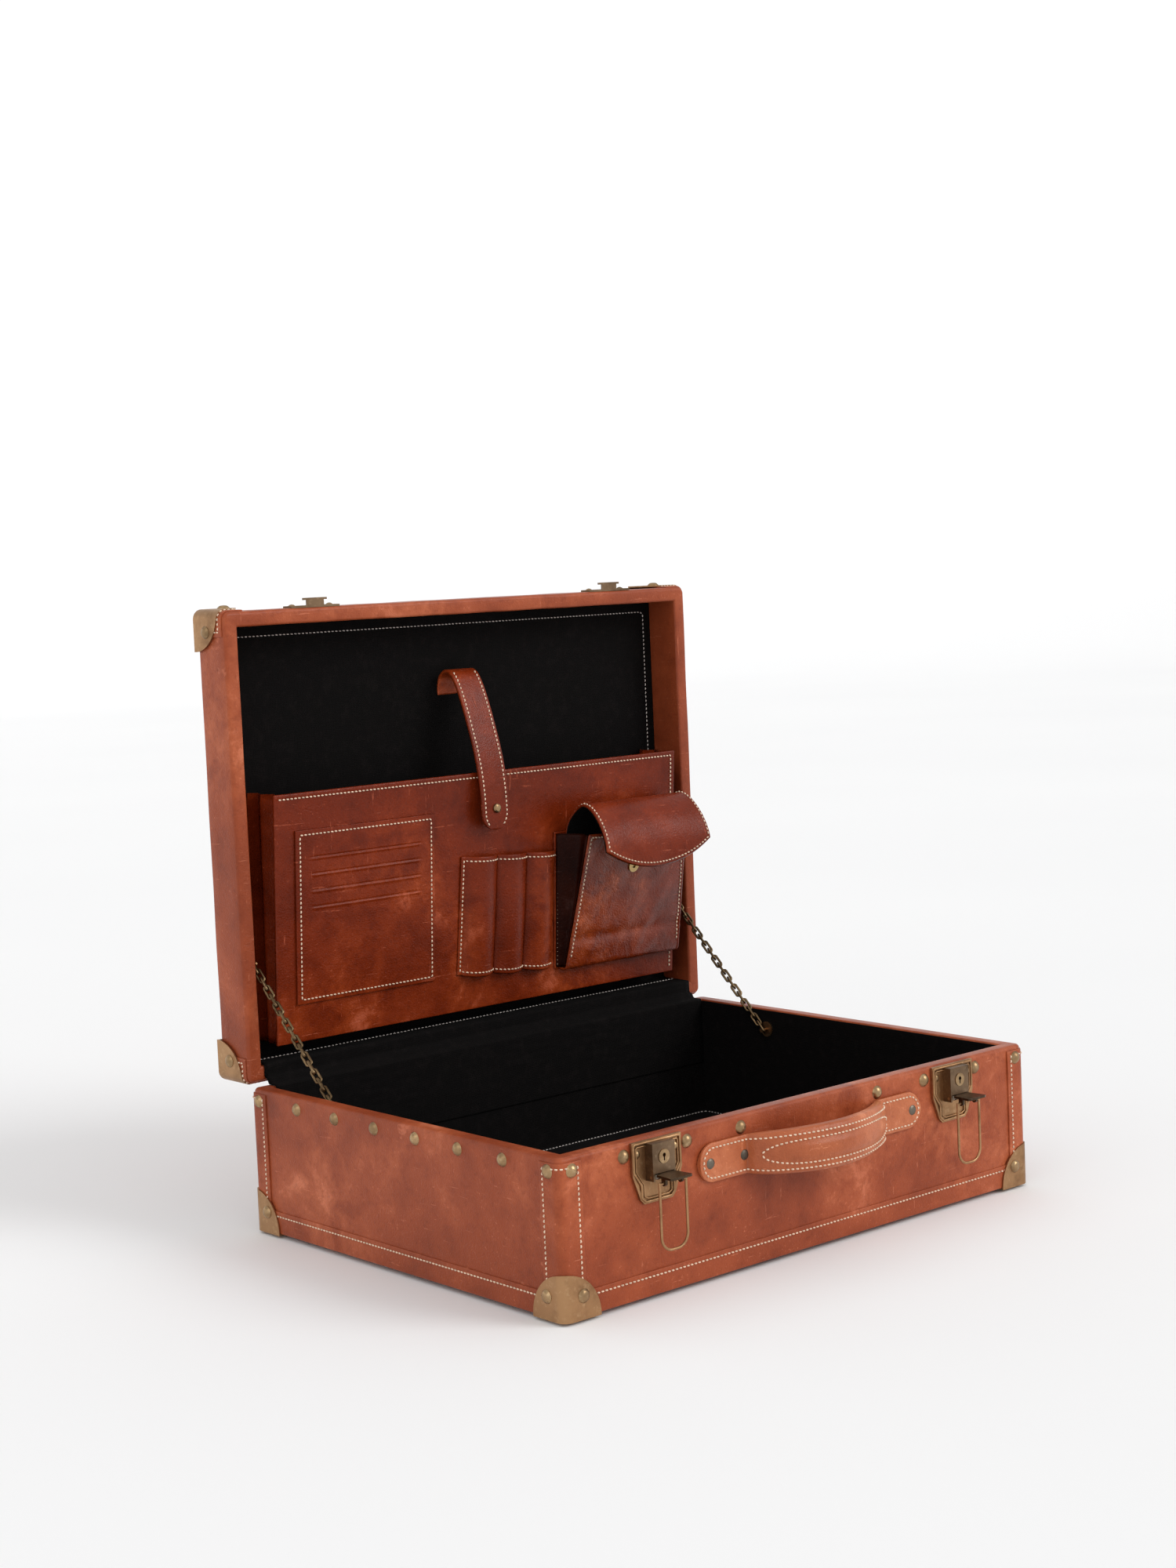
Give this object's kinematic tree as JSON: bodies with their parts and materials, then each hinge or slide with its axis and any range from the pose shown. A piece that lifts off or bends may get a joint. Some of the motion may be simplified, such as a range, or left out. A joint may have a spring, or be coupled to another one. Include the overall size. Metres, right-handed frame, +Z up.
{
  "type": "attache case",
  "caption": "Hard-sided leather attache case, open on chain stays, with drawbolt latches, corner guards, carry handle and lid organiser.",
  "frame": {"origin": "middle of the floor area that the open case covers, at floor level", "axes": "+X from the case's left to its right seen from the front, +Y from the handle to the hinge, +Z up"},
  "size_m": [0.448, 0.4073, 0.4462],
  "materials": {
    "leather_cognac": "pull-up cognac leather, satin, lightly scuffed",
    "leather_trim": "cognac leather trim with cream stitching",
    "leather_organiser": "smooth cognac leather, waxed",
    "lining_black": "matt black lining",
    "wood": "plain board, covered",
    "antique_brass": "antiqued brass, worn bright on high spots",
    "bright_brass": "polished brass",
    "dark_bronze": "darkened bronze",
    "spring_steel": "spring wire"
  },
  "bodies": {
    "base": {"base_bottom_panel": "wood", "base_front_board": "wood", "base_rear_board": "wood", "base_left_board": "wood", "base_right_board": "wood", "base_leather_cover": "leather_cognac", "base_lining": "lining_black", "base_floor_pad": "lining_black", "base_bottom_band": "leather_trim", "base_edge_patches": "leather_trim", "base_corner_guards": "antique_brass", "base_guard_rivets": "antique_brass", "base_rim_studs": "antique_brass", "feet": "antique_brass", "handle_grip": "leather_trim", "handle_rivets": "antique_brass", "latch_plates": "antique_brass", "lock_housings": "dark_bronze", "latch_rivets": "antique_brass", "lever_pins": "antique_brass", "lever_springs": "spring_steel", "hinge_base_leaf": "antique_brass", "hinge_pin": "antique_brass", "base_chain_anchors": "antique_brass"},
    "lid": {"hinge_lid_leaf": "antique_brass", "lid_chain_anchors": "antique_brass", "lid_panel": "wood", "lid_front_board": "wood", "lid_rear_board": "wood", "lid_left_board": "wood", "lid_right_board": "wood", "lid_leather_cover": "leather_cognac", "lid_lining": "lining_black", "lid_edge_patches": "leather_trim", "lid_corner_guards": "antique_brass", "lid_guard_rivets": "antique_brass", "catch_plates": "antique_brass", "catch_rivets": "antique_brass", "document_pocket": "leather_organiser", "pocket_gussets": "leather_organiser", "card_panel": "leather_organiser", "pen_loops": "leather_organiser", "flap_pocket": "leather_organiser", "snap_magnet": "bright_brass", "snap_post": "bright_brass", "strap_root": "leather_organiser"},
    "left_lock": {"left_lock_cylinder": "bright_brass"},
    "right_lock": {"right_lock_cylinder": "bright_brass"},
    "left_lever": {"left_latch_lever": "dark_bronze"},
    "right_lever": {"right_latch_lever": "dark_bronze"},
    "left_bail": {"left_wire_bail": "antique_brass"},
    "right_bail": {"right_wire_bail": "antique_brass"},
    "flap": {"pocket_flap": "leather_organiser", "flap_keeper": "bright_brass"},
    "strap": {"file_strap": "leather_organiser", "strap_snap_cap": "bright_brass"},
    "left_stay_low": {"left_chain_low": "antique_brass"},
    "right_stay_low": {"right_chain_low": "antique_brass"},
    "left_stay_high": {"left_chain_high": "antique_brass"},
    "right_stay_high": {"right_chain_high": "antique_brass"}
  },
  "joints": [
    {"name": "lid_hinge", "type": "hinge", "parent": "base", "child": "lid", "pos_m": [0, 0.16535, 0.1043], "axis": [1, 0, 0], "range_deg": [0, 90]},
    {"name": "left_lever_hinge", "type": "hinge", "parent": "base", "child": "left_lever", "pos_m": [-0.141, -0.17595, 0.08], "axis": [1, 0, 0], "range_deg": [0, 90], "stiffness_Nm_per_rad": 0.004, "springref_deg": -45.84},
    {"name": "left_bail_pivot", "type": "hinge", "parent": "left_lever", "child": "left_bail", "pos_m": [-0.141, -0.18545, 0.0778], "axis": [1, 0, 0], "range_deg": [-270, 0]},
    {"name": "left_lock_turn", "type": "hinge", "parent": "base", "child": "left_lock", "pos_m": [-0.141, -0.17765, 0.0925], "axis": [0, -1, 0], "range_deg": [0, 90]},
    {"name": "right_lever_hinge", "type": "hinge", "parent": "base", "child": "right_lever", "pos_m": [0.141, -0.17595, 0.08], "axis": [1, 0, 0], "range_deg": [0, 90], "stiffness_Nm_per_rad": 0.004, "springref_deg": -45.84},
    {"name": "right_bail_pivot", "type": "hinge", "parent": "right_lever", "child": "right_bail", "pos_m": [0.141, -0.18545, 0.0778], "axis": [1, 0, 0], "range_deg": [-270, 0]},
    {"name": "right_lock_turn", "type": "hinge", "parent": "base", "child": "right_lock", "pos_m": [0.141, -0.17765, 0.0925], "axis": [0, -1, 0], "range_deg": [0, 90]},
    {"name": "flap_fold", "type": "hinge", "parent": "lid", "child": "flap", "pos_m": [0.129, 0.15723, 0.26036], "axis": [-1, 0, 0], "range_deg": [-22, 40]},
    {"name": "strap_lift", "type": "hinge", "parent": "lid", "child": "strap", "pos_m": [0, 0.18565, 0.3823], "axis": [-1, 0, 0], "range_deg": [0, 45]},
    {"name": "left_stay_low_pivot", "type": "hinge", "parent": "base", "child": "left_stay_low", "pos_m": [-0.204, 0.07735, 0.088], "axis": [1, 0, 0], "range_deg": [-99, 0]},
    {"name": "left_stay_high_pivot", "type": "hinge", "parent": "lid", "child": "left_stay_high", "pos_m": [-0.204, 0.17765, 0.1883], "axis": [0.963, 0.1907, -0.1907], "range_deg": [-27, 0]},
    {"name": "right_stay_low_pivot", "type": "hinge", "parent": "base", "child": "right_stay_low", "pos_m": [0.204, 0.07735, 0.088], "axis": [1, 0, 0], "range_deg": [-99, 0]},
    {"name": "right_stay_high_pivot", "type": "hinge", "parent": "lid", "child": "right_stay_high", "pos_m": [0.204, 0.17765, 0.1883], "axis": [0.963, -0.1907, 0.1907], "range_deg": [-27, 0]}
  ],
  "couplings": [
    {"joint": "left_bail_pivot", "follows": "left_lever_hinge", "ratio": -3},
    {"joint": "right_bail_pivot", "follows": "right_lever_hinge", "ratio": -3},
    {"joint": "left_stay_low_pivot", "follows": "lid_hinge", "ratio": -1.1},
    {"joint": "left_stay_high_pivot", "follows": "lid_hinge", "ratio": -0.3},
    {"joint": "right_stay_low_pivot", "follows": "lid_hinge", "ratio": -1.1},
    {"joint": "right_stay_high_pivot", "follows": "lid_hinge", "ratio": -0.3}
  ]
}
